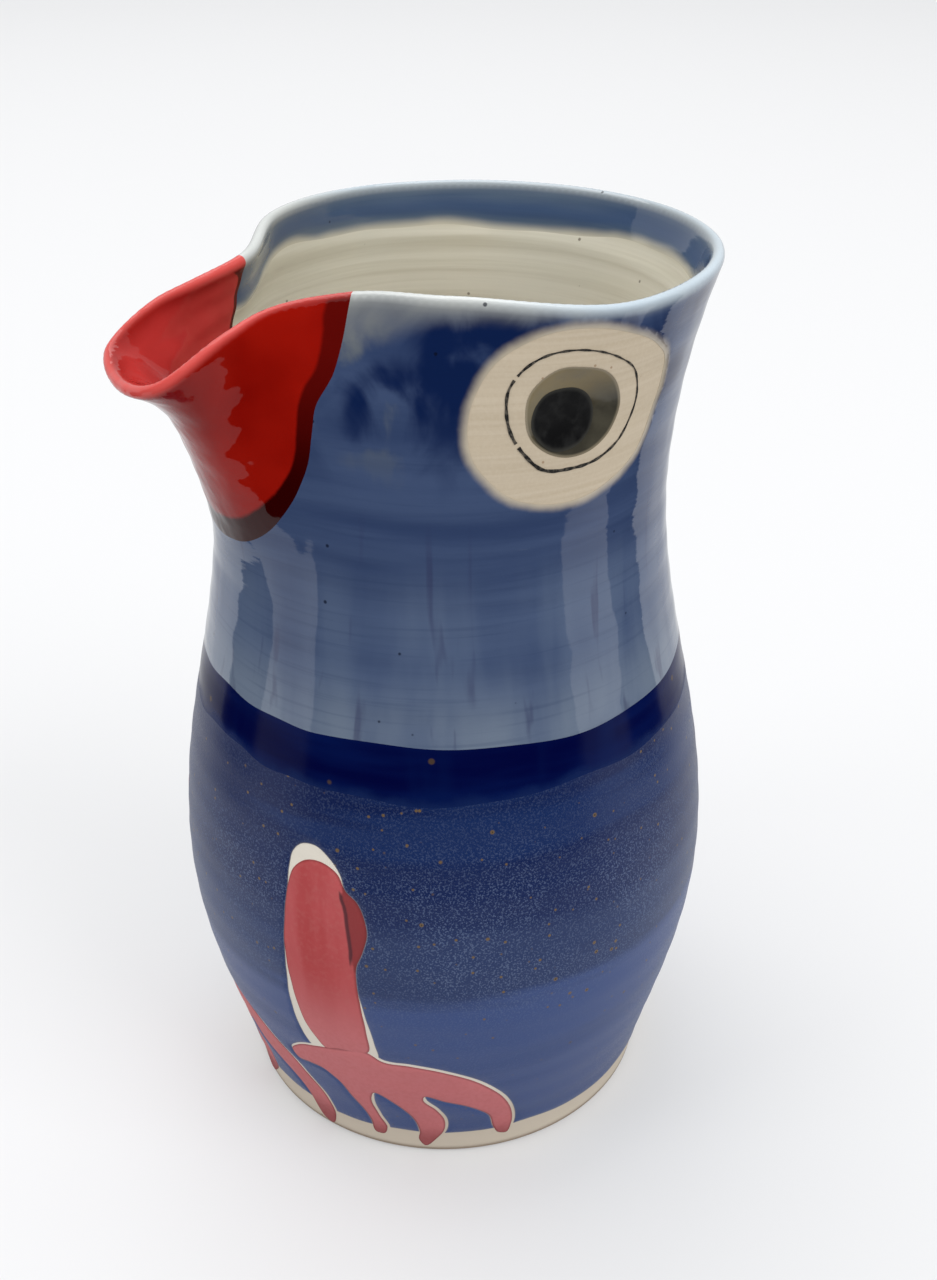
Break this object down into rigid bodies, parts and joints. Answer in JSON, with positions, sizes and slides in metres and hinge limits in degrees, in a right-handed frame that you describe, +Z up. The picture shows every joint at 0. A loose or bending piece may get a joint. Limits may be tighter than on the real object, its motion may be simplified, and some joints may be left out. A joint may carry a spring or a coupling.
{
  "type": "bird jug",
  "caption": "Hand-thrown stoneware jug shaped as a bird, with a red beak for a pouring spout, pressed eyes on the neck and painted legs on a blue glazed belly.",
  "frame": {"origin": "centre of the flat base that the jug stands on", "axes": "+Z up along the thrown axis, -Y forward along the beak, +X to the bird's left"},
  "size_m": [0.122, 0.1289, 0.2032],
  "materials": {
    "clay": "bare fired stoneware, pale buff with fine specks",
    "liner": "satin cream liner glaze with throwing rings and specks",
    "neck_blue": "glossy mottled blue glaze, breaking pale at the lip",
    "overlap_navy": "glossy navy where two coats overlap",
    "belly_blue": "satin cobalt coat with streaks and specks",
    "beak_red": "glossy red glaze",
    "leg_red": "matte brushed pinkish red underglaze",
    "eye_olive": "glossy olive glaze pooled in the hollow",
    "pupil_black": "satin black",
    "eye_line": "dry dark brown line"
  },
  "bodies": {
    "root": {"thrown_body": "clay", "beak_spout": "clay", "liner_glaze": "liner", "neck_glaze": "neck_blue", "overlap_glaze": "overlap_navy", "belly_glaze": "belly_blue", "left_rear_toe_gap_glaze": "belly_blue", "left_front_toe_gap_glaze": "belly_blue", "right_rear_toe_gap_glaze": "belly_blue", "right_front_toe_gap_glaze": "belly_blue", "beak_glaze": "beak_red", "left_leg": "leg_red", "right_leg": "leg_red", "left_foot": "leg_red", "right_foot": "leg_red", "left_eye_glaze": "eye_olive", "right_eye_glaze": "eye_olive", "left_pupil": "pupil_black", "right_pupil": "pupil_black", "left_eye_ring": "eye_line", "right_eye_ring": "eye_line"}
  },
  "joints": []
}
